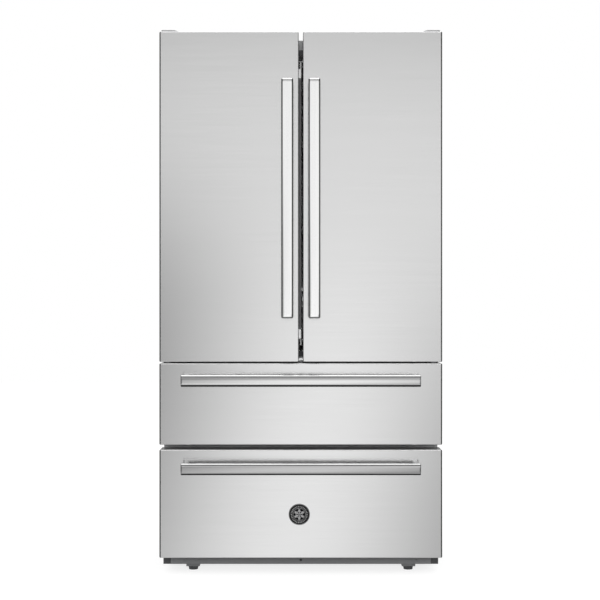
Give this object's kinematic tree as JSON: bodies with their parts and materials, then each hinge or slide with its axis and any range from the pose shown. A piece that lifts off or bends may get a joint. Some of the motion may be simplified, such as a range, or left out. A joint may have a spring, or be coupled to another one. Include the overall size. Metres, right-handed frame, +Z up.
{
  "type": "refrigerator",
  "caption": "Tall steel-fronted refrigerator: paired hinged doors with upright bar handles over stacked freezer drawers on runners, with levelling legs and rear rollers.",
  "frame": {"origin": "on the floor under the middle of the whole box", "axes": "+X to the right and +Y to the back as seen from the front, +Z up"},
  "size_m": [0.908, 0.7574, 1.758],
  "materials": {
    "front_steel": "satin brushed across the width",
    "handle_steel": "satin brushed along the bar",
    "case_paint": "satin grey paint with a fine texture",
    "rear_sheet": "dull galvanised sheet",
    "foam": "rigid foam, hidden",
    "white_liner": "semi-gloss white moulding",
    "seal_rubber": "matt dark grey",
    "clear_plastic": "clear gloss",
    "basket_plastic": "frosted translucent",
    "shelf_trim": "white moulding",
    "shelf_glass": "clear",
    "zinc_steel": "bright zinc plate",
    "dark_plastic": "dark grey moulding",
    "mullion_grey": "dark grey moulding",
    "cap_plastic": "white moulding",
    "control_plastic": "white moulding with a dark touch strip",
    "badge_black": "gloss black with a bright rim",
    "compressor_black": "black enamel",
    "coil_metal": "bare fins"
  },
  "bodies": {
    "cabinet": {"outer_case": "case_paint", "cabinet_insulation": "foam", "fridge_liner": "white_liner", "freezer_liners": "white_liner", "rear_panel": "rear_sheet", "base_frame": "zinc_steel", "kick_plate": "dark_plastic", "door_hinges": "zinc_steel", "hinge_covers": "dark_plastic", "screws": "zinc_steel", "outer_runners": "zinc_steel", "compressor": "compressor_black", "condenser_coil": "coil_metal", "condenser_fan_motor": "dark_plastic", "evaporator_coil": "coil_metal", "evaporator_cover": "white_liner", "air_tower": "white_liner", "control_panel": "control_plastic", "shelf_frames": "shelf_trim", "shelf_glass": "shelf_glass", "shelf_tracks": "zinc_steel"},
    "left_door": {"left_door_skin": "front_steel", "left_door_insulation": "foam", "left_door_liner": "white_liner", "left_door_seal": "seal_rubber", "left_door_handle": "handle_steel", "left_door_bins": "clear_plastic"},
    "right_door": {"right_door_skin": "front_steel", "right_door_insulation": "foam", "right_door_liner": "white_liner", "right_door_seal": "seal_rubber", "right_door_handle": "handle_steel", "right_door_bins": "clear_plastic"},
    "mullion": {"mullion_bar": "mullion_grey", "mullion_caps": "cap_plastic"},
    "upper_drawer": {"upper_drawer_skin": "front_steel", "upper_drawer_insulation": "foam", "upper_drawer_liner": "white_liner", "upper_drawer_seal": "seal_rubber", "upper_drawer_handle": "handle_steel", "upper_basket": "basket_plastic", "upper_inner_runners": "zinc_steel"},
    "lower_drawer": {"lower_drawer_skin": "front_steel", "lower_drawer_insulation": "foam", "lower_drawer_liner": "white_liner", "lower_drawer_seal": "seal_rubber", "lower_drawer_handle": "handle_steel", "lower_basket": "basket_plastic", "lower_inner_runners": "zinc_steel", "badge": "badge_black"},
    "upper_slides": {"upper_mid_runners": "zinc_steel"},
    "lower_slides": {"lower_mid_runners": "zinc_steel"},
    "left_crisper": {"left_crisper": "clear_plastic"},
    "right_crisper": {"right_crisper": "clear_plastic"},
    "left_leg": {"left_levelling_leg": "dark_plastic"},
    "right_leg": {"right_levelling_leg": "dark_plastic"},
    "left_roller": {"left_rear_roller": "dark_plastic"},
    "right_roller": {"right_rear_roller": "dark_plastic"},
    "condenser_fan": {"condenser_fan": "dark_plastic"},
    "evaporator_fan": {"evaporator_fan": "dark_plastic"}
  },
  "joints": [
    {"name": "left_door_swing", "type": "hinge", "parent": "cabinet", "child": "left_door", "pos_m": [-0.43, -0.27065, 1.218], "axis": [0, 0, -1], "range_deg": [0, 110]},
    {"name": "right_door_swing", "type": "hinge", "parent": "cabinet", "child": "right_door", "pos_m": [0.43, -0.27065, 1.218], "axis": [0, 0, 1], "range_deg": [0, 110]},
    {"name": "mullion_fold", "type": "hinge", "parent": "left_door", "child": "mullion", "pos_m": [-0.046, -0.22335, 1.20275], "axis": [0, 0, 1], "range_deg": [0, 90]},
    {"name": "upper_drawer_slide", "type": "slide", "parent": "cabinet", "child": "upper_drawer", "axis": [0, -1, 0], "range_m": [0, 0.38]},
    {"name": "lower_drawer_slide", "type": "slide", "parent": "cabinet", "child": "lower_drawer", "axis": [0, -1, 0], "range_m": [0, 0.28]},
    {"name": "upper_runner_slide", "type": "slide", "parent": "cabinet", "child": "upper_slides", "axis": [0, -1, 0], "range_m": [0, 0.19]},
    {"name": "lower_runner_slide", "type": "slide", "parent": "cabinet", "child": "lower_slides", "axis": [0, -1, 0], "range_m": [0, 0.14]},
    {"name": "left_crisper_slide", "type": "slide", "parent": "cabinet", "child": "left_crisper", "axis": [0, -1, 0], "range_m": [0, 0.07]},
    {"name": "right_crisper_slide", "type": "slide", "parent": "cabinet", "child": "right_crisper", "axis": [0, -1, 0], "range_m": [0, 0.07]},
    {"name": "left_leg_turn", "type": "hinge", "parent": "cabinet", "child": "left_leg", "pos_m": [-0.354, -0.20535, 0], "axis": [0, 0, 1], "continuous": true},
    {"name": "right_leg_turn", "type": "hinge", "parent": "cabinet", "child": "right_leg", "pos_m": [0.354, -0.20535, 0], "axis": [0, 0, 1], "continuous": true},
    {"name": "left_roller_roll", "type": "hinge", "parent": "cabinet", "child": "left_roller", "pos_m": [-0.354, 0.31665, 0.02], "axis": [1, 0, 0], "continuous": true},
    {"name": "right_roller_roll", "type": "hinge", "parent": "cabinet", "child": "right_roller", "pos_m": [0.354, 0.31665, 0.02], "axis": [1, 0, 0], "continuous": true},
    {"name": "condenser_fan_spin", "type": "hinge", "parent": "cabinet", "child": "condenser_fan", "pos_m": [-0.03, 0.27665, 0.146], "axis": [1, 0, 0], "continuous": true},
    {"name": "evaporator_fan_spin", "type": "hinge", "parent": "cabinet", "child": "evaporator_fan", "pos_m": [0, 0.26165, 0.5925], "axis": [0, 1, 0], "continuous": true}
  ],
  "couplings": [
    {"joint": "mullion_fold", "follows": "left_door_swing", "ratio": 0.8},
    {"joint": "upper_runner_slide", "follows": "upper_drawer_slide", "ratio": 0.5},
    {"joint": "lower_runner_slide", "follows": "lower_drawer_slide", "ratio": 0.5}
  ]
}
